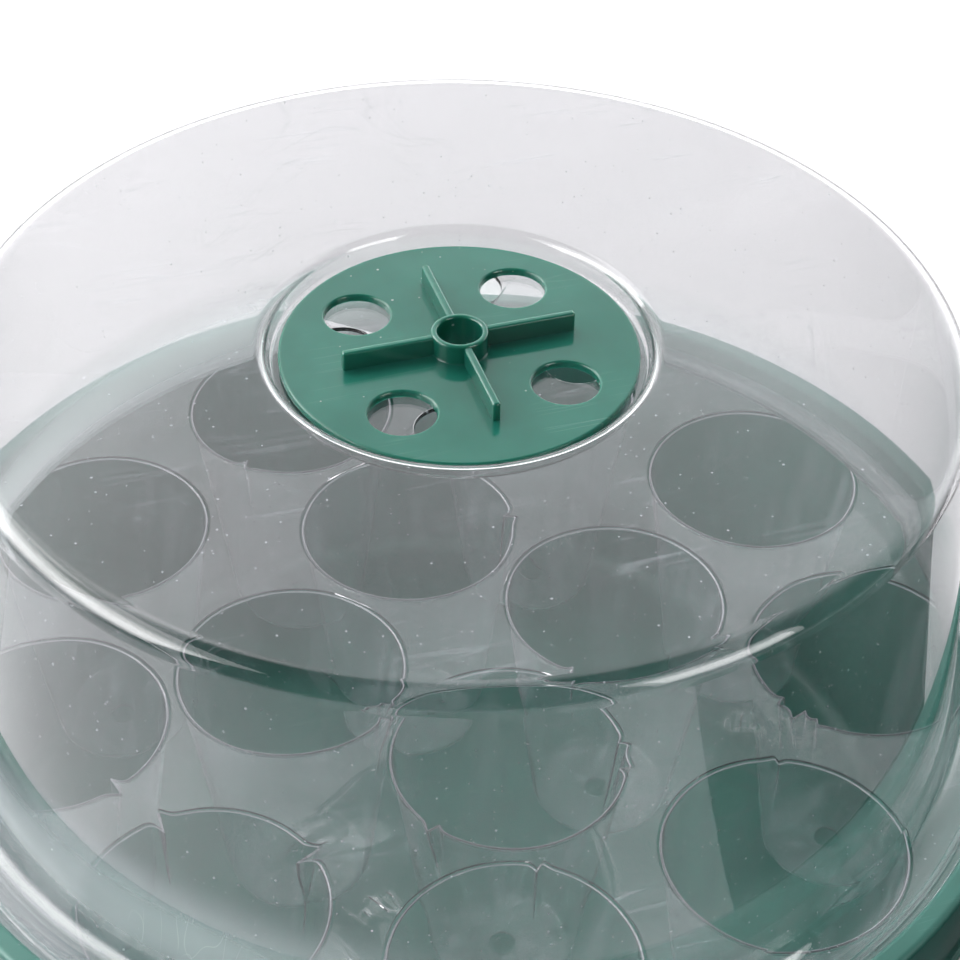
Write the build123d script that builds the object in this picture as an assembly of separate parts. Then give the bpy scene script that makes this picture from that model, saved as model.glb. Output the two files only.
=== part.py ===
from build123d import *
import math
import os

# Round seed-starting tray with a humidity dome. Millimetres, +Z up.
# The origin is the centre of the foot ring, on the surface that the tray stands on.
# Four mouldings stack and snap together: a basin, a sheet of cups, a dome and a turning vent.

# ---- driving dimensions -------------------------------------------------------------------
DECK_Z = 60.0             # top face of the sheet of cups

# basin
RIM_R = 100.0             # outside of the basin's rim and of the skirt below it
RIM_H = 3.8               # rim top above the deck
RIM_INNER_R = 95.9        # inside of the rim, round the dome's flange
SKIRT_DROP = 15.0         # lower edge of the skirt below the deck
BEAD_R = 100.8            # bead round the skirt's lower edge, the widest place of the whole object
BEAD_H = 1.6
RIM_WALL = 1.5
BASIN_WALL = 1.8
BASIN_MOUTH_R = 93.2      # inside of the basin at the ledge
BASIN_FLOOR_R = 86.5      # inside of the basin at its floor
FLOOR_Z = 3.5             # top of the basin's floor
FLOOR_UNDER_Z = 1.5       # underside of the floor, raised inside the foot ring
FOOT_WIDTH = 3.0

# sheet of cups
FILM = 0.4                # thickness of the formed sheet
SHEET_R = 95.2
CUP_MOUTH_R = 20.0
CUP_LIP_R = 0.5           # rounding of the lip
CUP_FLOOR_R = 12.6        # inside radius at the bottom
CUP_DEPTH = 50.0          # deck to underside of a cup
DRAIN_R = 2.5
OUTER_RING = (9, 72.0, 20.0)   # count, radius to the cup centres, first angle
INNER_RING = (4, 30.0, 0.0)

# dome
DOME_T = 0.6
FLANGE_GAP = 0.1          # flange above the sheet
FLANGE_R = 95.4
WALL_FOOT_R = 87.3        # outside of the wall, extended down to the flange
FOOT_FILLET = 5.0         # the wall curves out into the flange
SHOULDER_R = 80.2         # outside of the wall, extended to the top
SHOULDER_H = 67.2
SHOULDER_FILLET = 3.6
RECESS_EDGE_R = 30.9
RECESS_EDGE_H = 65.8      # the top dishes slightly towards the recess
RECESS_FLOOR_R = 29.9
SEAT_H = 62.2             # top of the seat that the vent turns on
STEM_HOLE_R = 4.64

# vent
DIAL_R = 28.75
DIAL_T = 1.2
DIAL_GAP = 0.2            # plate above the seat
VENT_HOLE_R = 5.35
VENT_PITCH_R = 18.7
VENT_COUNT = 4
DIAL_HOLE_ANGLE = 45.0    # vent holes of the plate, between the blades
SEAT_HOLE_ANGLE = 68.0    # vent holes of the seat: the vent stands a little open
STEM_R = 4.56
STEM_BORE_R = 3.55
BOSS_H = 3.5              # boss above the plate
BLADE_H = 3.2
BLADE_T = 1.3
BLADE_END_R = 19.2
BARB_R = 5.5
BARB_GAP = 0.3            # barbs below the underside of the seat
BARB_H = 2.6
STEM_TIP_R = 4.3
SLOT_W = 1.2
CUT_OVERSHOOT = 1.0       # how far a cutting solid passes the face it cuts


# ---- helpers ------------------------------------------------------------------------------
def turned(outline):
    """A solid of revolution about Z. Each point of the closed outline is (r, z, corner radius)."""
    points = [(r, 0, z) for r, z, _ in outline]
    corners = [corner for _, _, corner in outline]
    face = make_face(FilletPolyline(*points, radius=corners, close=True))
    return revolve(face, Axis.Z, 360)


def on_circle(count, radius, first_angle):
    """Centres of equal steps round a circle."""
    steps = [math.radians(first_angle + 360.0 * i / count) for i in range(count)]
    return [(radius * math.cos(a), radius * math.sin(a)) for a in steps]


def upright(radius, low, high, x=0.0, y=0.0):
    """A cylinder along Z between two heights."""
    return Pos(x, y, low) * Cylinder(radius, high - low, align=(Align.CENTER, Align.CENTER, Align.MIN))


def cup_centres():
    return on_circle(*OUTER_RING) + on_circle(*INNER_RING)


# ---- pieces -------------------------------------------------------------------------------
def base_basin():
    """Green basin: foot ring, drafted wall, ledge for the sheet, and a rim folded down as a deep skirt."""
    ledge_z = DECK_Z - FILM
    rim_z = DECK_Z + RIM_H
    skirt_z = DECK_Z - SKIRT_DROP
    foot_r = BASIN_FLOOR_R + BASIN_WALL
    return turned([
        (0.0, FLOOR_UNDER_Z, 0.0),
        (foot_r - FOOT_WIDTH - 1.0, FLOOR_UNDER_Z, 0.8),
        (foot_r - FOOT_WIDTH, 0.0, 0.5),
        (foot_r, 0.0, 1.2),
        (BASIN_MOUTH_R + BASIN_WALL, ledge_z - BASIN_WALL, 1.0),
        (RIM_INNER_R + RIM_WALL, ledge_z - BASIN_WALL, 1.0),
        (RIM_INNER_R + RIM_WALL, rim_z - RIM_WALL, 0.3),
        (RIM_R - RIM_WALL, rim_z - RIM_WALL, 0.3),
        (RIM_R - RIM_WALL, skirt_z, 0.4),
        (BEAD_R, skirt_z, 0.5),
        (BEAD_R, skirt_z + BEAD_H, 0.4),
        (RIM_R, skirt_z + BEAD_H, 0.3),
        (RIM_R, rim_z, 1.2),
        (RIM_INNER_R + 0.3, rim_z, 0.9),
        (RIM_INNER_R, ledge_z, 0.4),
        (BASIN_MOUTH_R, ledge_z, 0.8),
        (BASIN_FLOOR_R, FLOOR_Z, 4.0),
        (0.0, FLOOR_Z, 0.0),
    ])


def cup():
    """One cup about Z, with the lip that joins it to the deck."""
    floor_z = DECK_Z - CUP_DEPTH
    wall_top_r = CUP_MOUTH_R - CUP_LIP_R
    return turned([
        (0.0, floor_z + FILM, 0.0),
        (CUP_FLOOR_R, floor_z + FILM, 2.0),
        (wall_top_r, DECK_Z, CUP_LIP_R),
        (CUP_MOUTH_R + 1.0, DECK_Z, 0.0),
        (CUP_MOUTH_R + 1.0, DECK_Z - FILM, 0.0),
        (wall_top_r + FILM, DECK_Z - FILM, 0.1),
        (CUP_FLOOR_R + FILM, floor_z, 2.4),
        (0.0, floor_z, 0.0),
    ]) - upright(DRAIN_R, floor_z - CUT_OVERSHOOT, floor_z + FILM + CUT_OVERSHOOT)


def cell_insert():
    """Clear formed sheet: a round deck with thirteen cups hanging from it."""
    deck = upright(SHEET_R, DECK_Z - FILM, DECK_Z)
    for x, y in cup_centres():
        deck -= upright(CUP_MOUTH_R + 1.0, DECK_Z - FILM - CUT_OVERSHOOT, DECK_Z + CUT_OVERSHOOT, x, y)
    single = cup()
    return deck.fuse(*[Pos(x, y, 0) * single for x, y in cup_centres()])


def dome_shell():
    """Clear dome: flange, drafted wall, tight shoulder and the recessed seat of the vent."""
    def z(height):
        return DECK_Z + height

    shell = turned([
        (STEM_HOLE_R, z(SEAT_H), 0.0),
        (RECESS_FLOOR_R, z(SEAT_H), 0.5),
        (RECESS_EDGE_R, z(RECESS_EDGE_H), 1.0),
        (SHOULDER_R, z(SHOULDER_H), SHOULDER_FILLET),
        (WALL_FOOT_R, z(FLANGE_GAP + DOME_T), FOOT_FILLET),
        (FLANGE_R, z(FLANGE_GAP + DOME_T), 0.2),
        (FLANGE_R, z(FLANGE_GAP), 0.2),
        (WALL_FOOT_R - DOME_T, z(FLANGE_GAP), FOOT_FILLET + DOME_T),
        (SHOULDER_R - DOME_T, z(SHOULDER_H - DOME_T), SHOULDER_FILLET - DOME_T),
        (RECESS_EDGE_R + DOME_T, z(RECESS_EDGE_H - DOME_T), 0.4),
        (RECESS_FLOOR_R + DOME_T, z(SEAT_H - DOME_T), 1.1),
        (STEM_HOLE_R, z(SEAT_H - DOME_T), 0.0),
    ])
    for x, y in on_circle(VENT_COUNT, VENT_PITCH_R, SEAT_HOLE_ANGLE):
        shell -= upright(VENT_HOLE_R, z(SEAT_H - DOME_T) - CUT_OVERSHOOT, z(SEAT_H) + CUT_OVERSHOOT, x, y)
    return shell


def vent_dial():
    """Green turning vent: plate, grip blades, and a hollow stem with snap barbs below the seat."""
    under_z = DECK_Z + SEAT_H + DIAL_GAP
    top_z = under_z + DIAL_T
    barb_z = DECK_Z + SEAT_H - DOME_T - BARB_GAP
    tip_z = barb_z - BARB_H
    dial = turned([
        (STEM_BORE_R, top_z + BOSS_H, 0.25),
        (STEM_R, top_z + BOSS_H, 0.25),
        (STEM_R, top_z, 0.3),
        (DIAL_R, top_z, 0.5),
        (DIAL_R, under_z, 0.3),
        (STEM_R, under_z, 0.0),
        (STEM_R, barb_z, 0.0),
        (BARB_R, barb_z, 0.2),
        (STEM_TIP_R, tip_z, 0.2),
        (STEM_BORE_R, tip_z, 0.0),
    ])
    for x, y in on_circle(VENT_COUNT, VENT_PITCH_R, DIAL_HOLE_ANGLE):
        dial -= upright(VENT_HOLE_R, under_z - CUT_OVERSHOOT, top_z + CUT_OVERSHOOT, x, y)
    blade_start = (STEM_BORE_R + STEM_R) / 2
    blade = Pos(blade_start, 0, top_z - DIAL_T / 2) * Box(
        BLADE_END_R - blade_start, BLADE_T, BLADE_H + DIAL_T / 2, align=(Align.MIN, Align.CENTER, Align.MIN)
    )
    blade = fillet(blade.edges().filter_by(Axis.Z).sort_by(Axis.X)[-2:], 0.3)
    blade = fillet(blade.faces().sort_by(Axis.Z)[-1].edges(), 0.25)
    slot_low = tip_z - CUT_OVERSHOOT
    slot = Pos(0, 0, slot_low) * Box(
        2 * (BARB_R + CUT_OVERSHOOT), SLOT_W, under_z - DIAL_GAP - slot_low,
        align=(Align.CENTER, Align.CENTER, Align.MIN),
    )
    for turn in range(VENT_COUNT):
        dial += Rot(0, 0, 360.0 / VENT_COUNT * turn) * blade
    for turn in (0, 1):
        dial -= Rot(0, 0, 45.0 + 90.0 * turn) * slot
    return dial


# ---- output -------------------------------------------------------------------------------
os.makedirs("parts", exist_ok=True)
for make in (base_basin, cell_insert, dome_shell, vent_dial):
    export_step(make(), os.path.join("parts", make.__name__ + ".step"))
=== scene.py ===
import bisect
import math

import bmesh
import bpy
from mathutils import Matrix, Vector, geometry, noise


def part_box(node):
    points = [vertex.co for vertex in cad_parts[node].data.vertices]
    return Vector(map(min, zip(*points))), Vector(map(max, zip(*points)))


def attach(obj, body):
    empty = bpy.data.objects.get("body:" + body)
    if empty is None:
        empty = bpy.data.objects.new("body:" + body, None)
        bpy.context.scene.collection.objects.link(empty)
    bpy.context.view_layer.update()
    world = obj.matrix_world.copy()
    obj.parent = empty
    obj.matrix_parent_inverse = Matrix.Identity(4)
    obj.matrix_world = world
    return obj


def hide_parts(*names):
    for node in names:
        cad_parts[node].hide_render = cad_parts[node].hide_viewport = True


# Humidity dome tray: a green basin, a clear sheet of thirteen cups, a clear dome and a turning green vent.
# Blender works in metres; the sizes below are in millimetres, as on the CAD drawing, and MM converts them.
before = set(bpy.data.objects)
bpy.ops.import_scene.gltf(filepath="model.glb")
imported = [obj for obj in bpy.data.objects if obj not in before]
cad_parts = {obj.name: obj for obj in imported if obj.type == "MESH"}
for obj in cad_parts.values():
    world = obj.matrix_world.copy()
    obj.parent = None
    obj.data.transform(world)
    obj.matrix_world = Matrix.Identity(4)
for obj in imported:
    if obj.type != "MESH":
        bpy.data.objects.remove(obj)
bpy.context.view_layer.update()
MM = 0.001

# ---- sizes, in millimetres ----------------------------------------------------------------
DECK_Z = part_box("cell_insert")[1].z / MM     # top of the sheet of cups
BEAD_R = -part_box("base_basin")[0].x / MM     # bead round the skirt's lower edge
RIM_R = BEAD_R - 0.8
RIM_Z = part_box("base_basin")[1].z / MM
RIM_INNER_R = RIM_R - 4.1
RIM_WALL = 1.5
SKIRT_Z = DECK_Z - 15.0
BEAD_H = 1.6
BASIN_WALL = 1.8
BASIN_MOUTH_R = 93.2
BASIN_FLOOR_R = 86.5
FLOOR_Z = 3.5
FLOOR_UNDER_Z = 1.5
FOOT_WIDTH = 3.0

FILM = 0.4
SHEET_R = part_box("cell_insert")[1].x / MM
CUP_MOUTH_R = 20.0
CUP_LIP_R = 0.5
CUP_FLOOR_R = 12.6
CUP_FLOOR_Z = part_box("cell_insert")[0].z / MM + FILM
CUP_FLOOR_FILLET = 2.0
DRAIN_R = 2.5
OUTER_RING = (9, 72.0, 20.0)                 # count, radius to the cup centres, first angle
INNER_RING = (4, 30.0, 0.0)
MOUTH_RING_R = CUP_MOUTH_R + 0.4             # where a lip has become flat deck
LIP_WAVER = 0.30                             # slow radial wandering of the lips
LIP_RIPPLE = 0.04                            # fine radial wandering of the lips
WALL_WAVER = 0.22                            # broad upright waves of the walls
WALL_RIPPLE = 0.08                           # narrow upright waves of the walls
WAVES_FULL_DEPTH = 6.0                       # depth below which those waves have their full height
DECK_WAVER = 0.05                            # the deck's own unevenness
HIGHLIGHT_DEPTH = 0.12                           # depth at which a lip's painted highlight is brightest
HIGHLIGHT_SPREAD = 0.20                          # how far from there the painted highlight fades out

# Folds that forming left in the lips: cup, angle round it, reach of its tongue into the mouth, reach of
# its notch out of the mouth, and 1 or -1 for the side that the tongue is on.
FOLDS = (
    (5, 17.0, 3.4, 1.8, 1),
    (5, 99.0, 3.0, 2.0, -1),
    (5, 150.0, 0.7, 0.3, 1),
    (4, 295.0, 2.6, 1.7, -1),
    (2, 229.0, 1.8, 0.6, 1),
    (10, 352.0, 1.6, 0.7, -1),
    (11, 309.0, 0.8, 1.6, 1),
    (12, 214.0, 1.0, 1.4, -1),
    (12, 336.0, 1.2, 0.8, 1),
    (12, 352.0, 0.9, 0.7, -1),
    (8, 200.0, 1.1, 1.0, 1),
    (8, 212.0, 1.5, 1.8, -1),
    (8, 222.0, 0.8, 0.5, 1),
    (9, 228.0, 1.2, 1.6, 1),
    (9, 313.0, 0.6, 1.5, -1),
    (7, 70.0, 0.8, 0.5, 1),
    (6, 60.0, 1.2, 0.8, -1),
)
FOLD_SPREAD = 9.0                            # degrees each side that a fold pulls the lip
FOLD_FLIP = 1.0                              # degrees from a fold to its tongue's tip, and to its notch
FOLD_DEPTH = 8.0                             # how far down the wall a fold reaches
NOTCH_ROOM = 3.0                             # no notch reaches further than this past the mouth ring
# Webs of slack film between lips: place, direction of the creases, reach, depth.
CREASES = (
    (40.7, -35.1, 60.0, 9.0, 0.35),
    (50.5, -39.0, 35.0, 6.0, 0.30),
    (-28.3, -54.3, 115.0, 7.0, 0.40),
    (-17.0, -16.0, 150.0, 5.0, 0.25),
    (17.0, -16.5, 30.0, 6.0, 0.25),
    (-36.0, -38.5, 170.0, 6.0, 0.25),
    (44.9, -17.0, 95.0, 5.0, 0.25),
)
CREASE_PITCH = 2.6

DOME_T = 0.6
FLANGE_LOW_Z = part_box("dome_shell")[0].z / MM
FLANGE_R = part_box("dome_shell")[1].x / MM
WALL_FOOT_R = 87.3
FOOT_FILLET = 5.0
SHOULDER_R = 80.2
SHOULDER_Z = DECK_Z + 67.2
SHOULDER_FILLET = 3.6
RECESS_EDGE_R = 30.9
RECESS_EDGE_Z = DECK_Z + 65.8
RECESS_FLOOR_R = 29.9
RECESS_ROUNDING = 1.9                        # of the recess's upper edge
SEAT_Z = DECK_Z + 62.2
STEM_HOLE_R = 4.64
RIB_R = 93.7                                 # low rib round the flange
RIB_HALF_W = 0.7
RIB_H = 0.45

DIAL_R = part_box("vent_dial")[1].x / MM
DIAL_GAP = 0.2                               # the plate's underside above the seat
DIAL_LOW_Z = SEAT_Z + DIAL_GAP
DIAL_Z = DIAL_LOW_Z + 1.2
VENT_HOLE_R = 5.35
VENT_PITCH_R = 18.7
VENT_COUNT = 4
DIAL_HOLE_ANGLE = 45.0
SEAT_HOLE_ANGLE = 68.0
STEM_R = 4.56
STEM_BORE_R = 3.55
BOSS_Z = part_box("vent_dial")[1].z / MM
STEM_LOW_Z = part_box("vent_dial")[0].z / MM
BLADE_Z = DIAL_Z + 3.2
BLADE_T = 1.3
BLADE_END_R = 19.2
BLADE_SINK = 0.6                             # how deep a blade goes into the plate
BARB_R = 5.5
BARB_Z = SEAT_Z - DOME_T - 0.3
STEM_TIP_R = 4.3
SLOT_W = 1.2
SLOT_ANGLES = (45.0, 135.0)
EDGE_ROUNDING = 0.42                         # of the vent's edges

# ---- mesh density and tolerances ----------------------------------------------------------
ROUND_STEPS = 288                            # segments round the basin, the dome and the sheet's edge
VENT_STEPS = 144
HOLE_STEPS = 96
CUP_STEPS = 88
ARC_STEP = 9.0                               # degrees per segment in a corner's arc
LIP_ARC_STEP = 15.0                          # the same in a cup's outline
SHARP_ANGLE = 32.0                           # degrees; sharper edges shade as creases
FOLD_STEP = 0.8                              # degrees between the extra mesh lines at a fold
FOLD_LINES = 8                               # extra mesh lines each side of a fold
WALL_STEP = 3.6                              # longest step down a cup's wall
DECK_STEP = 1.5                              # spacing of the deck's mesh points
ROW_PITCH = 0.87                             # spacing of their rows, as a share of that
EDGE_MARGIN = 0.8                            # deck points keep this far from the sheet's edge
MOUTH_MARGIN = 0.7                           # and this far from the mouth rings
FLAT_EDGE = 3.0                              # the deck is quite flat this near the sheet's edge
WELD = 0.02                                  # points closer than this are joined
CUT_OVERSHOOT = 1.0                          # how far a cutting solid passes the face it cuts
COLLAR = 2.0                                 # reach of a drill's collar past the hole, and its height
COLLAR_GAP = 0.005                           # its underside above the face that is drilled


# ---- turned shapes ------------------------------------------------------------------------
def rounded(outline, arc_step=ARC_STEP):
    """The closed (r, z, corner radius) outline with its corners drawn as arcs, as (r, z) points."""
    points = []
    count = len(outline)
    for i, (r, z, corner) in enumerate(outline):
        here = Vector((r, z))
        before = (Vector(outline[i - 1][:2]) - here).normalized()
        after = (Vector(outline[(i + 1) % count][:2]) - here).normalized()
        opening = before.angle(after)
        if corner == 0.0 or opening > math.pi - 0.01:
            points.append(here)
            continue
        reach = corner / math.tan(opening / 2)
        centre = here + (before + after).normalized() * corner / math.sin(opening / 2)
        start = here + before * reach - centre
        sweep = math.pi - opening
        if start.x * (here - centre).y - start.y * (here - centre).x < 0:
            sweep = -sweep
        steps = max(3, round(abs(math.degrees(sweep)) / arc_step))
        for k in range(steps + 1):
            a = sweep * k / steps
            turned_arm = Vector((start.x * math.cos(a) - start.y * math.sin(a),
                                 start.x * math.sin(a) + start.y * math.cos(a)))
            points.append(centre + turned_arm)
    return points


def with_supports(points, gap=0.25):
    """Adds a point close to each end of the long straight runs, so that smooth shading keeps flats flat."""
    out = []
    for i, here in enumerate(points):
        after = points[(i + 1) % len(points)]
        out.append(here)
        run = (after - here).length
        if run > 6 * gap:
            step = (after - here) / run * gap
            out.append(here + step)
            out.append(after - step)
    return out


def turn(name, outline, steps=ROUND_STEPS):
    """A solid of revolution about Z from a closed outline in millimetres."""
    points = with_supports(rounded(outline))
    mesh = bmesh.new()
    rings = []
    for r, z in points:
        if r < 1e-6:
            rings.append([mesh.verts.new((0, 0, z * MM))])
            continue
        angles = [2 * math.pi * k / steps for k in range(steps)]
        rings.append([mesh.verts.new((r * MM * math.cos(a), r * MM * math.sin(a), z * MM)) for a in angles])
    for low, high in zip(rings, rings[1:] + rings[:1]):
        for k in range(steps):
            n = k + 1
            corners = [low[k % len(low)], low[n % len(low)], high[n % len(high)], high[k % len(high)]]
            corners = list(dict.fromkeys(corners))
            if len(corners) > 2:
                mesh.faces.new(corners)
    return finished(mesh, name)


def finished(mesh, name):
    """The bmesh as a smooth-shaded object with creased sharp edges and outward normals."""
    bmesh.ops.recalc_face_normals(mesh, faces=mesh.faces)
    data = bpy.data.meshes.new(name)
    mesh.to_mesh(data)
    mesh.free()
    obj = bpy.data.objects.new(name, data)
    bpy.context.scene.collection.objects.link(obj)
    smooth(obj)
    return obj


def smooth(obj):
    obj.data.polygons.foreach_set("use_smooth", [True] * len(obj.data.polygons))
    obj.data.set_sharp_from_angle(angle=math.radians(SHARP_ANGLE))


def on_circle(count, radius, first_angle):
    angles = [math.radians(first_angle + 360.0 * i / count) for i in range(count)]
    return [Vector((radius * math.cos(a), radius * math.sin(a))) for a in angles]


def apply_modifiers(obj):
    graph = bpy.context.evaluated_depsgraph_get()
    data = bpy.data.meshes.new_from_object(obj.evaluated_get(graph))
    obj.modifiers.clear()
    obj.data = data


def cut(obj, *tools, operation="DIFFERENCE"):
    """Cuts (or joins) the tools with obj, exactly, and removes them."""
    for tool in tools:
        boolean = obj.modifiers.new("cut", "BOOLEAN")
        boolean.object = tool
        boolean.operation = operation
        boolean.solver = "EXACT"
    apply_modifiers(obj)
    for tool in tools:
        bpy.data.objects.remove(tool)


def drill(radius, low, top, centre, flare):
    """A rod that cuts a hole along Z. The fillet under its collar rounds the hole's upper edge."""
    collar_r = radius + COLLAR
    collar_z = top + COLLAR_GAP
    rod = turn("drill", [
        (0.0, low, 0.0),
        (radius, low, 0.0),
        (radius, collar_z, flare),
        (collar_r, collar_z, 0.0),
        (collar_r, top + COLLAR, 0.0),
        (0.0, top + COLLAR, 0.0),
    ], HOLE_STEPS)
    rod.data.transform(Matrix.Translation((centre.x * MM, centre.y * MM, 0)))
    return rod


# ---- basin --------------------------------------------------------------------------------
def make_basin():
    ledge_z = DECK_Z - FILM
    foot_r = BASIN_FLOOR_R + BASIN_WALL
    riser_r = RIM_INNER_R + RIM_WALL
    return turn("basin", [
        (0.0, FLOOR_UNDER_Z, 0.0),
        (foot_r - FOOT_WIDTH - 1.0, FLOOR_UNDER_Z, 0.8),
        (foot_r - FOOT_WIDTH, 0.0, 0.5),
        (foot_r, 0.0, 1.2),
        (BASIN_MOUTH_R + BASIN_WALL, ledge_z - BASIN_WALL, 1.0),
        (riser_r, ledge_z - BASIN_WALL, 1.0),
        (riser_r, RIM_Z - RIM_WALL, 0.3),
        (RIM_R - RIM_WALL, RIM_Z - RIM_WALL, 0.3),
        (RIM_R - RIM_WALL, SKIRT_Z, 0.4),
        (BEAD_R, SKIRT_Z, 0.5),
        (BEAD_R, SKIRT_Z + BEAD_H, 0.4),
        (RIM_R, SKIRT_Z + BEAD_H, 0.3),
        (RIM_R, RIM_Z, 1.2),
        (RIM_INNER_R + 0.3, RIM_Z, 0.9),
        (RIM_INNER_R, ledge_z, 0.4),
        (BASIN_MOUTH_R, ledge_z, 0.8),
        (BASIN_FLOOR_R, FLOOR_Z, 4.0),
        (0.0, FLOOR_Z, 0.0),
    ])


# ---- dome ---------------------------------------------------------------------------------
def make_dome():
    dome = turn("dome", [
        (STEM_HOLE_R, SEAT_Z, 0.0),
        (RECESS_FLOOR_R, SEAT_Z, 0.5),
        (RECESS_EDGE_R, RECESS_EDGE_Z, RECESS_ROUNDING),
        (SHOULDER_R, SHOULDER_Z, SHOULDER_FILLET),
        (WALL_FOOT_R, FLANGE_LOW_Z + DOME_T, FOOT_FILLET),
        (RIB_R - RIB_HALF_W, FLANGE_LOW_Z + DOME_T, 0.4),
        (RIB_R, FLANGE_LOW_Z + DOME_T + RIB_H, 0.3),
        (RIB_R + RIB_HALF_W, FLANGE_LOW_Z + DOME_T, 0.4),
        (FLANGE_R, FLANGE_LOW_Z + DOME_T, 0.2),
        (FLANGE_R, FLANGE_LOW_Z, 0.2),
        (WALL_FOOT_R - DOME_T, FLANGE_LOW_Z, FOOT_FILLET + DOME_T),
        (SHOULDER_R - DOME_T, SHOULDER_Z - DOME_T, SHOULDER_FILLET - DOME_T),
        (RECESS_EDGE_R + DOME_T, RECESS_EDGE_Z - DOME_T, RECESS_ROUNDING - DOME_T),
        (RECESS_FLOOR_R + DOME_T, SEAT_Z - DOME_T, 1.1),
        (STEM_HOLE_R, SEAT_Z - DOME_T, 0.0),
    ])
    holes = on_circle(VENT_COUNT, VENT_PITCH_R, SEAT_HOLE_ANGLE)
    low = SEAT_Z - DOME_T - CUT_OVERSHOOT
    cut(dome, *[drill(VENT_HOLE_R, low, SEAT_Z, at, DOME_T / 2) for at in holes])
    smooth(dome)
    return dome


# ---- vent ---------------------------------------------------------------------------------
def block(low, high, angle):
    """A plain box, turned about Z, used only to cut or join."""
    mesh = bmesh.new()
    bmesh.ops.create_cube(mesh, size=1.0)
    for v in mesh.verts:
        v.co = Vector([(lo + (c + 0.5) * (hi - lo)) * MM for lo, hi, c in zip(low, high, v.co)])
    bmesh.ops.rotate(mesh, verts=mesh.verts, matrix=Matrix.Rotation(math.radians(angle), 3, "Z"))
    return finished(mesh, "block")


def rounded_block(low, high, angle):
    """A box with rounded edges, for the grip blades."""
    blade = block(low, high, angle)
    bevel = blade.modifiers.new("edges", "BEVEL")
    bevel.width = EDGE_ROUNDING * MM
    bevel.segments = 4
    apply_modifiers(blade)
    return blade


def make_vent():
    dial = turn("vent", [
        (STEM_BORE_R, BOSS_Z, EDGE_ROUNDING),
        (STEM_R, BOSS_Z, EDGE_ROUNDING),
        (STEM_R, DIAL_Z, 0.3),
        (DIAL_R, DIAL_Z, EDGE_ROUNDING),
        (DIAL_R, DIAL_LOW_Z, 0.3),
        (STEM_R, DIAL_LOW_Z, 0.0),
        (STEM_R, BARB_Z, 0.0),
        (BARB_R, BARB_Z, 0.2),
        (STEM_TIP_R, STEM_LOW_Z, 0.2),
        (STEM_BORE_R, STEM_LOW_Z, 0.0),
    ], VENT_STEPS)
    holes = on_circle(VENT_COUNT, VENT_PITCH_R, DIAL_HOLE_ANGLE)
    cut(dial, *[drill(VENT_HOLE_R, DIAL_LOW_Z - CUT_OVERSHOOT, DIAL_Z, at, EDGE_ROUNDING) for at in holes])
    blade_low = ((STEM_BORE_R + STEM_R) / 2, -BLADE_T / 2, DIAL_Z - BLADE_SINK)
    blade_high = (BLADE_END_R, BLADE_T / 2, BLADE_Z)
    blades = [rounded_block(blade_low, blade_high, 360.0 / VENT_COUNT * k) for k in range(VENT_COUNT)]
    cut(dial, *blades, operation="UNION")
    slot_low = (-BARB_R - CUT_OVERSHOOT, -SLOT_W / 2, STEM_LOW_Z - CUT_OVERSHOOT)
    slot_high = (BARB_R + CUT_OVERSHOOT, SLOT_W / 2, DIAL_LOW_Z - DIAL_GAP)
    cut(dial, *[block(slot_low, slot_high, a) for a in SLOT_ANGLES])
    smooth(dial)
    flat = dial.modifiers.new("flats", "WEIGHTED_NORMAL")
    flat.weight = 90
    flat.keep_sharp = True
    apply_modifiers(dial)
    return dial


# ---- sheet of cups ------------------------------------------------------------------------
def make_sheet():
    """The formed sheet: one surface of deck, lips, walls and bottoms, then thickened."""
    centres = on_circle(*OUTER_RING) + on_circle(*INNER_RING)
    mesh = bmesh.new()
    # The lip layer carries the painted highlight along each cup's lip.
    lip = mesh.verts.layers.float.new("lip")
    angles = [cup_angles(i) for i in range(len(centres))]
    rings = [[spot(c, i, MOUTH_RING_R, DECK_Z, a) for a in angles[i]] for i, c in enumerate(centres)]
    deck(mesh, centres, angles, rings)
    for i, centre in enumerate(centres):
        cup_wall(mesh, lip, centre, i, angles[i])
    bmesh.ops.remove_doubles(mesh, verts=mesh.verts, dist=WELD * MM)
    sheet = finished(mesh, "sheet")
    skin = sheet.modifiers.new("film", "SOLIDIFY")
    skin.thickness = FILM * MM
    skin.offset = -1.0
    skin.use_even_offset = False
    apply_modifiers(sheet)
    smooth(sheet)
    return sheet


def cup_angles(index):
    """The angles, in degrees, of a cup's mesh lines: even, with more of them at its folds."""
    angles = {360.0 * k / CUP_STEPS for k in range(CUP_STEPS)}
    for cup, at, _, _, _ in FOLDS:
        if cup == index:
            angles |= {(at + FOLD_STEP * k) % 360.0 for k in range(-FOLD_LINES, FOLD_LINES + 1)}
    return sorted(angles)


def fold(away, tongue, notch):
    """Radial shift of the lip so many degrees away from a fold: a tongue before it and a notch after it."""
    if abs(away) >= FOLD_SPREAD:
        return 0.0
    if away <= -FOLD_FLIP:
        return -tongue * ((away + FOLD_SPREAD) / (FOLD_SPREAD - FOLD_FLIP)) ** 3
    if away >= FOLD_FLIP:
        return notch * ((FOLD_SPREAD - away) / (FOLD_SPREAD - FOLD_FLIP)) ** 2
    return -tongue + (tongue + notch) * (away + FOLD_FLIP) / (2 * FOLD_FLIP)


def noise_round(degrees, waves, offset):
    """Noise that meets itself round a cup. More waves make it finer, and the offset picks the pattern."""
    a = math.radians(degrees)
    return noise.noise(Vector((waves * math.cos(a), waves * math.sin(a), offset)))


def lip_shift(index, degrees):
    """Radial shift of a cup's lip, from its wandering and its folds."""
    slow = noise_round(degrees, 1.3, 7.3 * index)
    fine = noise_round(degrees, 5, 3.1 * index)
    shift = LIP_WAVER * slow + LIP_RIPPLE * fine
    for cup, at, tongue, notch, turned_way in FOLDS:
        if cup == index:
            shift += fold(((degrees - at + 180.0) % 360.0 - 180.0) * turned_way, tongue, notch)
    return shift


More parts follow.
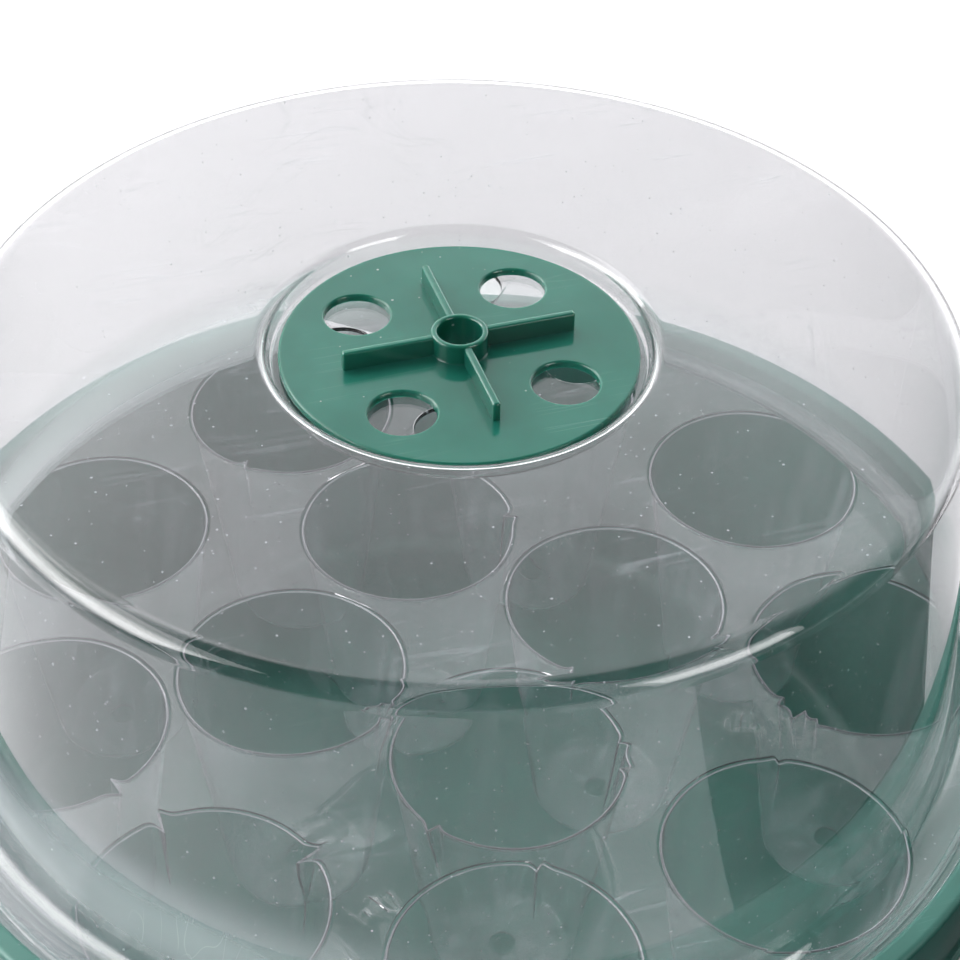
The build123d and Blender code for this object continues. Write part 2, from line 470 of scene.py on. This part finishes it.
def wall_streak(index, degrees, depth):
    """Shallow upright waves that forming leaves in a cup's wall."""
    broad = noise_round(degrees, 2.5, 0.02 * depth + 5.7 * index)
    narrow = noise_round(degrees, 9, 0.03 * depth + 2.9 * index)
    return (WALL_WAVER * broad + WALL_RIPPLE * narrow) * min(1.0, depth / WAVES_FULL_DEPTH)


def spot(centre, index, r, z, degrees):
    """A point of a cup's surface, in millimetres."""
    depth = DECK_Z - z
    reach = math.exp(-(depth / FOLD_DEPTH) ** 2)
    if r > DRAIN_R + 1.0:
        r += lip_shift(index, degrees) * reach + wall_streak(index, degrees, depth)
    a = math.radians(degrees)
    return Vector((centre.x + r * math.cos(a), centre.y + r * math.sin(a), z))


def deck_height(p):
    """Slack film between the lips lies in shallow creases; elsewhere the deck is almost flat."""
    z = DECK_WAVER * noise.noise(Vector((p.x / 14, p.y / 14, 0.0)))
    for x, y, direction, reach, depth in CREASES:
        offset = p - Vector((x, y))
        if offset.length < reach:
            a = math.radians(direction)
            across = offset.y * math.cos(a) - offset.x * math.sin(a)
            bend = 0.8 * noise.noise(Vector((p.x / 4, p.y / 4, 3.0)))
            fade = (1.0 - (offset.length / reach) ** 2) ** 2
            z += depth * fade * math.sin(2 * math.pi * across / CREASE_PITCH + 3 * bend)
    return z


def in_mouth(p, centre, angles, ring):
    """Whether a point is inside a cup's mouth ring."""
    away = p - centre
    if away.length > MOUTH_RING_R + NOTCH_ROOM:
        return False
    k = bisect.bisect_right(angles, math.degrees(math.atan2(away.y, away.x)) % 360.0) - 1
    first, second = ring[k].xy - centre, ring[(k + 1) % len(ring)].xy - centre
    return (second - first).cross(away - first) > 0.0


def deck(mesh, centres, angles, rings):
    """The flat of the sheet between its round edge and the cup mouths."""
    edge = [SHEET_R * Vector((math.cos(a), math.sin(a))) for a in
            (2 * math.pi * k / ROUND_STEPS for k in range(ROUND_STEPS))]
    loops = [edge] + [[p.xy for p in ring] for ring in rings]
    points, links = [], []
    for loop in loops:
        first = len(points)
        points += loop
        links += [(first + k, first + (k + 1) % len(loop)) for k in range(len(loop))]
    fixed = len(points)
    rows = int(SHEET_R / DECK_STEP) + 1
    for i in range(-rows, rows + 1):
        for j in range(-rows, rows + 1):
            p = Vector(((i + 0.5 * (j % 2)) * DECK_STEP, j * DECK_STEP * ROW_PITCH))
            at_mouth = any((p - c).length < MOUTH_RING_R + MOUTH_MARGIN for c in centres)
            if p.length < SHEET_R - EDGE_MARGIN and not at_mouth:
                points.append(p)
    verts, _, faces, *_ = geometry.delaunay_2d_cdt(points, links, [], 1, 1e-4)
    made = []
    for k, v in enumerate(verts):
        lift = deck_height(v) if k >= fixed and v.length < SHEET_R - FLAT_EDGE else 0.0
        made.append(mesh.verts.new((v.x * MM, v.y * MM, (DECK_Z + lift) * MM)))
    for face in faces:
        middle = sum((verts[k] for k in face), Vector((0, 0))) / len(face)
        if not any(in_mouth(middle, *mouth) for mouth in zip(centres, angles, rings)):
            mesh.faces.new([made[k] for k in face])


def divided(points, longest):
    """The line with its long runs cut into even steps."""
    out = [points[0]]
    for here, after in zip(points, points[1:]):
        steps = max(1, round((after - here).length / longest))
        out += [here.lerp(after, k / steps) for k in range(1, steps + 1)]
    return out


def cup_outline():
    """A cup's line from the deck down to its drain hole, as (r, z) points."""
    above = DECK_Z + 5.0                     # closes the outline over the mouth, and is dropped again
    closed = rounded([
        (MOUTH_RING_R, DECK_Z, 0.0),
        (CUP_MOUTH_R - CUP_LIP_R, DECK_Z, CUP_LIP_R),
        (CUP_FLOOR_R, CUP_FLOOR_Z, CUP_FLOOR_FILLET),
        (DRAIN_R, CUP_FLOOR_Z, 0.0),
        (DRAIN_R, above, 0.0),
        (MOUTH_RING_R, above, 0.0),
    ], LIP_ARC_STEP)
    return divided([p for p in closed if p.y <= DECK_Z + 1e-6], WALL_STEP)


def cup_wall(mesh, lip, centre, index, angles):
    """One cup's lip, wall and bottom. The lip layer says how much painted highlight each point has."""
    loops = []
    for p in cup_outline():
        loop = [mesh.verts.new(spot(centre, index, p.x, p.y, a) * MM) for a in angles]
        painted_highlight = max(0.0, 1.0 - abs(DECK_Z - p.y - HIGHLIGHT_DEPTH) / HIGHLIGHT_SPREAD)
        for v in loop:
            v[lip] = painted_highlight
        loops.append(loop)
    count = len(angles)
    for low, high in zip(loops, loops[1:]):
        for k in range(count):
            n = (k + 1) % count
            mesh.faces.new([low[k], low[n], high[n], high[k]])


# ---- materials ----------------------------------------------------------------------------
WORN_GREEN = (0.20, 0.42, 0.36)              # in a scratch
DUSTY_GREEN = (0.62, 0.68, 0.66)             # under a speck of dust
HAZE_COLOUR = (0.84, 0.87, 0.93)
BACKLIT_HAZE = (0.80, 0.90, 0.88)            # colour of the dome's painted foot light where light comes through it from behind
PASSING_LIGHT = (0.97, 0.975, 0.975)         # share of light that goes straight through clear plastic
MOST_HAZE = 0.9
STREAK_TOP_Z = (DECK_Z - 0.5) * MM           # the cups' streaks begin here, in metres
STREAK_FULL_Z = (DECK_Z - 4.0) * MM
STREAK_HAZE = 0.07
# Painted light on the dome's lower wall, as extra haze standing in for the lit table mirrored there: its
# height, in metres, and where it is strong.
FOOT_FADE_Z = ((DECK_Z + 26.0) * MM, (DECK_Z + 12.0) * MM)
FOOT_CLEAR_Z = ((DECK_Z + 2.0) * MM, (DECK_Z + 10.0) * MM)
FOOT_LEAST = 0.55                            # share of the haze that is left at the very foot
FOOT_BACKLIT = 0.6                           # share of that haze that light passes through
FOOT_LEFT_X = (0.050, -0.030)                # it doubles towards the left, where the lights are
FOOT_BACK_Y = (-0.020, 0.030)                # and it is strong at the back, towards the bright sweep
FOOT_SIDE_X = (-0.020, -0.060)               # and on the left side
FOOT_FRONT = 0.15                            # share of it at the front


def material(name):
    mat = bpy.data.materials.new(name)
    mat.use_nodes = True
    tree = mat.node_tree
    tree.nodes.clear()
    out = tree.nodes.new("ShaderNodeOutputMaterial")
    return mat, tree, out


def plug(tree, socket, value):
    """Links a socket to an input, or sets the input to a plain value."""
    if isinstance(value, bpy.types.NodeSocket):
        tree.links.new(value, socket)
    else:
        socket.default_value = value


def maths(tree, operation, first, second=0.0):
    made = tree.nodes.new("ShaderNodeMath")
    made.operation = operation
    plug(tree, made.inputs[0], first)
    plug(tree, made.inputs[1], second)
    return made.outputs[0]


def ramp(tree, value, start, end, low=0.0, high=1.0):
    """A smooth step of the value from start to end."""
    made = tree.nodes.new("ShaderNodeMapRange")
    made.interpolation_type = "SMOOTHSTEP"
    for name, amount in (("From Min", start), ("From Max", end), ("To Min", low), ("To Max", high)):
        made.inputs[name].default_value = amount
    plug(tree, made.inputs["Value"], value)
    return made.outputs[0]


def place(tree, turn_by=(0, 0, 0), stretch=(1, 1, 1)):
    """Coordinates on the object in metres, turned and stretched."""
    here = tree.nodes.new("ShaderNodeTexCoord")
    made = tree.nodes.new("ShaderNodeMapping")
    made.inputs["Rotation"].default_value = turn_by
    made.inputs["Scale"].default_value = stretch
    tree.links.new(here.outputs["Object"], made.inputs["Vector"])
    return made.outputs[0]


def clouds(tree, scale, detail=2.0, turn_by=(0, 0, 0), stretch=(1, 1, 1)):
    made = tree.nodes.new("ShaderNodeTexNoise")
    made.inputs["Scale"].default_value = scale
    made.inputs["Detail"].default_value = detail
    tree.links.new(place(tree, turn_by, stretch), made.inputs["Vector"])
    return made.outputs["Fac"]


def dust(tree, spacing, radius):
    """Specks of dust: round dots of mixed sizes, at most one in each cell of the spacing, in metres."""
    cells = tree.nodes.new("ShaderNodeTexVoronoi")
    cells.inputs["Scale"].default_value = 1.0 / spacing
    tree.links.new(place(tree), cells.inputs["Vector"])
    split = tree.nodes.new("ShaderNodeSeparateColor")
    tree.links.new(cells.outputs["Color"], split.inputs["Color"])
    size = maths(tree, "MULTIPLY", maths(tree, "POWER", split.outputs["Red"], 4.0), radius / spacing)
    return ramp(tree, maths(tree, "DIVIDE", cells.outputs["Distance"], size), 1.0, 0.5)


def hairlines(tree, angle, width, patches):
    """Long fine scratches along one direction, seen only where the patches are."""
    lines = clouds(tree, 1.0, 0.0, (0.0, 0.0, math.radians(angle)), (9.0, 330.0, 60.0))
    line = ramp(tree, maths(tree, "ABSOLUTE", maths(tree, "SUBTRACT", lines, 0.5)), width, 0.0)
    return maths(tree, "MULTIPLY", line, ramp(tree, patches, 0.50, 0.62))


def total(tree, *parts):
    amount = parts[0]
    for part in parts[1:]:
        amount = maths(tree, "ADD", amount, part)
    return amount


def bump(tree, height, depth):
    """A normal from a height pattern whose full range is so many metres deep."""
    made = tree.nodes.new("ShaderNodeBump")
    made.inputs["Strength"].default_value = 1.0
    made.inputs["Distance"].default_value = depth
    tree.links.new(height, made.inputs["Height"])
    return made.outputs[0]


def blend(tree, amount, first, second):
    """A colour between two, by an amount."""
    made = tree.nodes.new("ShaderNodeMix")
    made.data_type = "RGBA"
    plug(tree, made.inputs["Factor"], amount)
    plug(tree, made.inputs["A"], first)
    plug(tree, made.inputs["B"], second)
    return made.outputs["Result"]


def plain_shader(tree, kind, colour):
    made = tree.nodes.new(kind)
    made.inputs["Color"].default_value = (*colour, 1)
    return made.outputs[0]


def mixed(tree, amount, first, second):
    """A shader between two, by an amount."""
    made = tree.nodes.new("ShaderNodeMixShader")
    tree.links.new(amount, made.inputs[0])
    tree.links.new(first, made.inputs[1])
    tree.links.new(second, made.inputs[2])
    return made.outputs[0]


def green_plastic(name, dark, light, gloss, coat, glow):
    """Moulded green plastic: mottled colour, uneven gloss, scratches and dust.
    The glow is how far light spreads in it, in metres, and 0 is none."""
    mat, tree, out = material(name)
    shader = tree.nodes.new("ShaderNodeBsdfPrincipled")
    patches = clouds(tree, 60.0, 3.0)
    scratched = total(tree, hairlines(tree, 20.0, 0.012, patches), hairlines(tree, -65.0, 0.010, patches))
    specks = dust(tree, 0.0022, 0.00030)
    base = blend(tree, ramp(tree, patches, 0.3, 0.7), (*dark, 1), (*light, 1))
    worn = blend(tree, maths(tree, "MULTIPLY", scratched, 0.15), base, (*WORN_GREEN, 1))
    dusty = blend(tree, maths(tree, "MULTIPLY", specks, 0.55), worn, (*DUSTY_GREEN, 1))
    tree.links.new(dusty, shader.inputs["Base Color"])
    rough = ramp(tree, patches, 0.3, 0.7, gloss, gloss + 0.08)
    tree.links.new(total(tree, rough, maths(tree, "MULTIPLY", specks, 0.5)), shader.inputs["Roughness"])
    grain = total(tree, clouds(tree, 90.0, 1.0), maths(tree, "MULTIPLY", scratched, -0.08))
    tree.links.new(bump(tree, grain, 0.00010), shader.inputs["Normal"])
    shader.inputs["Coat Weight"].default_value = coat
    shader.inputs["Coat Roughness"].default_value = gloss
    if glow > 0.0:
        shader.inputs["Subsurface Weight"].default_value = 0.60
        shader.inputs["Subsurface Radius"].default_value = (0.25, 1.0, 0.7)
        shader.inputs["Subsurface Scale"].default_value = glow
    tree.links.new(shader.outputs[0], out.inputs["Surface"])
    return mat


def surface_haze(tree, cloudiness, dusty):
    """The uneven cloudiness, dust and scratches of a clear surface."""
    patches = clouds(tree, 48.0, 2.0)
    scratched = total(tree, hairlines(tree, 35.0, 0.010, patches), hairlines(tree, -50.0, 0.008, patches))
    return total(tree, ramp(tree, patches, 0.35, 0.75, 0.6 * cloudiness, 1.6 * cloudiness),
                 maths(tree, "MULTIPLY", dust(tree, 0.0015, 0.00027), dusty),
                 maths(tree, "MULTIPLY", scratched, 0.08))


def cup_highlights_and_haze(tree, haze, here, lip_highlight):
    """Adds the painted highlights along the cups' lips, and upright streaks in their walls."""
    # Painted highlight: a white band along each lip, as strong as the lip layer says.
    lip = tree.nodes.new("ShaderNodeAttribute")
    lip.attribute_name = "lip"
    streaks = clouds(tree, 1.0, 2.0, stretch=(240.0, 240.0, 14.0))
    in_cups = ramp(tree, here.outputs["Z"], STREAK_TOP_Z, STREAK_FULL_Z)
    return total(tree, haze, maths(tree, "MULTIPLY", lip.outputs["Fac"], lip_highlight),
                 maths(tree, "MULTIPLY", in_cups, ramp(tree, streaks, 0.45, 0.72, 0.0, STREAK_HAZE)))


def foot_zone(tree, here):
    """The painted light of the dome's lower wall by height: less at the very foot, full above it, none
    higher up.
    """
    return maths(tree, "MULTIPLY", ramp(tree, here.outputs["Z"], *FOOT_FADE_Z),
                 ramp(tree, here.outputs["Z"], *FOOT_CLEAR_Z, FOOT_LEAST, 1.0))


def foot_strength(tree, here, amount):
    """How strong the painted light of the lower wall is round the dome: heaviest on the left and at the
    back, towards the lights.
    """
    leftward = ramp(tree, here.outputs["X"], *FOOT_LEFT_X, 0.5 * amount, amount)
    behind = maths(tree, "MAXIMUM", ramp(tree, here.outputs["Y"], *FOOT_BACK_Y, FOOT_FRONT, 1.0),
                   ramp(tree, here.outputs["X"], *FOOT_SIDE_X, FOOT_FRONT, 1.0))
    return maths(tree, "MULTIPLY", leftward, behind)


def clear_plastic(name, tint, cloudiness, waves, lip_highlight, dusty, painted_foot_light):
    """Clear moulding: real refraction for what is seen, and straight through for lamps and bounced light.
    A thin dull layer holds its haze, dust, scratches, the painted highlights along the cups' lips and the
    dome's painted foot light."""
    mat, tree, out = material(name)
    glass = tree.nodes.new("ShaderNodeBsdfPrincipled")
    glass.inputs["Transmission Weight"].default_value = 1.0
    glass.inputs["Roughness"].default_value = 0.0
    glass.inputs["IOR"].default_value = 1.5
    glass.inputs["Base Color"].default_value = (*tint, 1)
    tree.links.new(bump(tree, clouds(tree, 42.0, 1.0), waves), glass.inputs["Normal"])

    here = tree.nodes.new("ShaderNodeSeparateXYZ")
    tree.links.new(place(tree), here.inputs[0])
    haze = surface_haze(tree, cloudiness, dusty)
    # Painted highlights along the cups' lips.
    if lip_highlight > 0.0:
        haze = cup_highlights_and_haze(tree, haze, here, lip_highlight)
    scatter = plain_shader(tree, "ShaderNodeBsdfDiffuse", HAZE_COLOUR)
    # Painted light: extra haze on the dome's lower wall stands in for the lit table it mirrors, heaviest
    # towards the lights.
    if painted_foot_light > 0.0:
        foot = foot_zone(tree, here)
        haze = total(tree, haze, maths(tree, "MULTIPLY", foot, foot_strength(tree, here, painted_foot_light)))
        backlit = plain_shader(tree, "ShaderNodeBsdfTranslucent", BACKLIT_HAZE)
        scatter = mixed(tree, maths(tree, "MULTIPLY", foot, FOOT_BACKLIT), scatter, backlit)
    hazy = mixed(tree, maths(tree, "MINIMUM", haze, MOST_HAZE), glass.outputs[0], scatter)

    clear = plain_shader(tree, "ShaderNodeBsdfTransparent", PASSING_LIGHT)
    path = tree.nodes.new("ShaderNodeLightPath")
    unseen = maths(tree, "MAXIMUM", path.outputs["Is Shadow Ray"], path.outputs["Is Diffuse Ray"])
    tree.links.new(mixed(tree, unseen, hazy, clear), out.inputs["Surface"])
    return mat


# ---- stage --------------------------------------------------------------------------------
# Lengths here are in metres and directions in degrees. Lights and bright cards have radiances over 1.
BLACK_CARD = ((0.066, -0.110), (0.122, -0.290), (0.300, -0.600), (0.900, -0.600), (0.900, 0.050),
              (0.230, -0.010), (0.112, -0.045))
BLACK_CARD_Z = 0.0010
BLACK = (0.01, 0.01, 0.012)
TABLE_CARD = ((-1.2, 0.40), (-1.2, -1.2), (1.2, -1.2), (1.2, -0.05), (0.12, -0.02), (0.075, -0.09),
              (-0.02, -0.12), (-0.10, -0.06), (-0.11, 0.04))
TABLE_CARD_Z = 0.0005
TABLE_DIM = (0.70, 0.71, 0.73)
TABLE_BRIGHT = (1.60, 1.60, 1.66)
TABLE_BRIGHT_SIDE = 165                      # azimuth where the table card is brightest
FLAG_ENDS = ((0.15, -0.25), (0.15, 0.03))
FLAG_HEIGHT = 0.10

FLOOR_R = 4.0
FLOOR_COLOUR = (0.93, 0.93, 0.94)
AIM_Z = 0.08                                 # the lights point at the axis, this high
# Name, azimuth, elevation, distance, width, height, radiance, lights things, shines in gloss.
PANELS = (
    ("left_tall", 162, 33, 0.80, 1.00, 0.80, 1.8, False, True),
    ("left_middle", 162, 31, 0.79, 1.00, 0.50, 2.0, False, True),
    ("left_core", 162, 28, 0.78, 0.95, 0.24, 3.0, False, True),
    ("left_glow", 162, 28, 0.85, 1.10, 0.50, 2.2, True, True),
    ("back_fill", 75, 55, 1.00, 0.90, 0.50, 2.7, True, False),
    ("front_fill", 228, 48, 0.95, 0.80, 0.50, 1.3, True, False),
    ("right_tall", -56, 25, 0.90, 0.50, 0.50, 2.5, False, True),
    ("right_core", -56, 22, 0.89, 0.42, 0.30, 4.0, False, True),
)

SWEEP_AZIMUTH = 76                           # the middle of the white sweep behind the tray
SWEEP_LOW = (1.82, 1.81, 1.87)
SWEEP_HIGH = (1.20, 1.19, 1.23)
SWEEP_HORIZON = (2.95, 2.93, 3.00)
SWEEP_LEFT = (3.05, 3.03, 3.10)
DIM_ROOM = (0.10, 0.10, 0.11)

LENS = 80.74                                 # millimetres, on a sensor 36 mm wide
CAMERA_AT = (-0.0831, -0.26065, 0.32882)
CAMERA_PITCH = 49.62
CAMERA_YAW = -18.46
CAMERA_ROLL = 0.0216                         # radians


def panel(name, azimuth, elevation, distance, width, height, radiance, lights, shines):
    """A soft rectangular studio light, placed by direction as seen from the object.
    It may only light things, or may only shine in the gloss of the plastics."""
    light = bpy.data.lights.new(name, "AREA")
    light.shape = "RECTANGLE"
    light.size, light.size_y = width, height
    light.energy = radiance * math.pi * width * height
    obj = bpy.data.objects.new(name, light)
    a, e = math.radians(azimuth), math.radians(elevation)
    towards = Vector((math.cos(a) * math.cos(e), math.sin(a) * math.cos(e), math.sin(e)))
    obj.location = Vector((0, 0, AIM_Z)) + distance * towards
    obj.rotation_euler = (-towards).to_track_quat("-Z", "Y").to_euler()
    obj.visible_diffuse = lights
    obj.visible_glossy = shines
    obj.visible_transmission = shines
    bpy.context.scene.collection.objects.link(obj)


def card(name, corners, height, look, lights):
    """A card on the table beside the tray, seen in the gloss of the plastics but not by the camera."""
    mesh = bmesh.new()
    mesh.faces.new([mesh.verts.new((x, y, height)) for x, y in corners])
    made = finished(mesh, name)
    made.data.materials.append(look)
    made.visible_camera = False
    made.visible_diffuse = lights
    made.visible_shadow = False
    made.visible_transmission = False


def flag(start, end, height, look):
    """A black board that stands on the table. It only keeps light off the tray's right side."""
    mesh = bmesh.new()
    corners = ((*start, 0.0), (*end, 0.0), (*end, height), (*start, height))
    mesh.faces.new([mesh.verts.new(at) for at in corners])
    made = finished(mesh, "flag")
    made.data.materials.append(look)
    made.visible_camera = False
    made.visible_glossy = False
    made.visible_transmission = False


def black_card_look():
    mat, tree, out = material("black_card")
    tree.links.new(plain_shader(tree, "ShaderNodeBsdfDiffuse", BLACK), out.inputs["Surface"])
    return mat


def facing(tree, direction, azimuth):
    """How nearly a direction points at an azimuth: 1 straight at it, and 0 across it."""
    made = tree.nodes.new("ShaderNodeVectorMath")
    made.operation = "DOT_PRODUCT"
    made.inputs[1].default_value = (math.cos(math.radians(azimuth)), math.sin(math.radians(azimuth)), 0.0)
    tree.links.new(direction, made.inputs[0])
    return made.outputs["Value"]


def table_card_look():
    """A glowing card, a painted reflection of the table as the dome's wall mirrors it: bright beside the
    left light, dimmer in front.
    """
    mat, tree, out = material("table_card")
    outward = tree.nodes.new("ShaderNodeVectorMath")
    outward.operation = "NORMALIZE"
    tree.links.new(place(tree), outward.inputs[0])
    amount = ramp(tree, facing(tree, outward.outputs[0], TABLE_BRIGHT_SIDE), 0.25, 0.90)
    shine = tree.nodes.new("ShaderNodeEmission")
    tree.links.new(blend(tree, amount, (*TABLE_DIM, 1), (*TABLE_BRIGHT, 1)), shine.inputs["Color"])
    tree.links.new(shine.outputs[0], out.inputs["Surface"])
    return mat


def pale_floor():
    mesh = bmesh.new()
    bmesh.ops.create_circle(mesh, cap_ends=True, segments=96, radius=FLOOR_R)
    floor = finished(mesh, "floor")
    mat, tree, out = material("pale_floor")
    shader = tree.nodes.new("ShaderNodeBsdfPrincipled")
    shader.inputs["Base Color"].default_value = (*FLOOR_COLOUR, 1)
    shader.inputs["Roughness"].default_value = 0.6
    tree.links.new(shader.outputs[0], out.inputs["Surface"])
    floor.data.materials.append(mat)


def stage():
    """The floor, the cards, the studio round them, the lights, and how far light is followed."""
    pale_floor()
    black = black_card_look()
    card("black_card", BLACK_CARD, BLACK_CARD_Z, black, lights=True)
    flag(*FLAG_ENDS, FLAG_HEIGHT, black)
    card("table_card", TABLE_CARD, TABLE_CARD_Z, table_card_look(), lights=False)
    sweep()
    for row in PANELS:
        panel(*row)
    bpy.context.scene.view_settings.view_transform = "Standard"
    bpy.context.scene.cycles.max_bounces = 16
    bpy.context.scene.cycles.transmission_bounces = 16
    bpy.context.scene.cycles.transparent_max_bounces = 32


def sweep():
    """The studio round the tray: a dim room, and behind the tray a white sweep that is brightest at the
    horizon and to the left."""
    world = bpy.data.worlds.new("studio")
    bpy.context.scene.world = world
    world.use_nodes = True
    tree = world.node_tree
    ray = tree.nodes.new("ShaderNodeTexCoord")
    split = tree.nodes.new("ShaderNodeSeparateXYZ")
    tree.links.new(ray.outputs["Generated"], split.inputs[0])
    height = split.outputs["Z"]
    behind = ramp(tree, facing(tree, ray.outputs["Generated"], SWEEP_AZIMUTH), 0.0, 0.50)
    azimuth = maths(tree, "ARCTAN2", split.outputs["Y"], split.outputs["X"])
    leftward = maths(tree, "MULTIPLY", ramp(tree, azimuth, math.radians(74), math.radians(93)),
                     ramp(tree, azimuth, math.radians(140), math.radians(118)))
    lifted = maths(tree, "MULTIPLY", leftward, ramp(tree, height, 0.40, 0.62))
    falling = blend(tree, ramp(tree, height, 0.50, 0.68), (*SWEEP_LOW, 1), (*SWEEP_HIGH, 1))
    low_down = blend(tree, ramp(tree, height, 0.44, 0.36), falling, (*SWEEP_HORIZON, 1))
    backdrop = blend(tree, lifted, low_down, (*SWEEP_LEFT, 1))
    reach = maths(tree, "MULTIPLY", behind, ramp(tree, height, 0.92, 0.78))
    tree.links.new(blend(tree, reach, (*DIM_ROOM, 1), backdrop), tree.nodes["Background"].inputs[0])


def camera():
    """A long lens above the front of the tray, looking down at the vent."""
    data = bpy.data.cameras.new("camera")
    data.sensor_width = 36.0
    data.lens = LENS
    obj = bpy.data.objects.new("camera", data)
    yaw = Matrix.Rotation(math.radians(CAMERA_YAW), 4, "Z")
    pitch = Matrix.Rotation(math.radians(CAMERA_PITCH), 4, "X")
    roll = Matrix.Rotation(CAMERA_ROLL, 4, "Z")
    aimed = yaw @ pitch @ roll
    obj.matrix_world = Matrix.Translation(CAMERA_AT) @ aimed
    bpy.context.scene.collection.objects.link(obj)
    bpy.context.scene.camera = obj


# ---- build --------------------------------------------------------------------------------
camera()
stage()
PIECES = (
    (make_basin, "basin", "base_basin", "green_basin", green_plastic(
        "green_basin", dark=(0.015, 0.140, 0.106), light=(0.019, 0.168, 0.128),
        gloss=0.38, coat=0.45, glow=0.0)),
    (make_sheet, "cells", "cell_insert", "clear_film", clear_plastic(
        "clear_film", tint=(0.96, 0.965, 0.965), cloudiness=0.028, waves=0.00030,
        lip_highlight=0.35, dusty=0.50, painted_foot_light=0.0)),
    (make_dome, "lid", "dome_shell", "clear_dome", clear_plastic(
        "clear_dome", tint=(0.79, 0.785, 0.79), cloudiness=0.006, waves=0.00006,
        lip_highlight=0.0, dusty=0.40, painted_foot_light=0.30)),
    (make_vent, "vent", "vent_dial", "green_dial", green_plastic(
        "green_dial", dark=(0.013, 0.145, 0.103), light=(0.019, 0.175, 0.126),
        gloss=0.10, coat=0.0, glow=0.0022)),
)
for make, body, node, slot, look in PIECES:
    piece = make()
    piece.data.materials.clear()
    piece.data.materials.append(look)
    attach(piece, body)
    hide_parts(node)
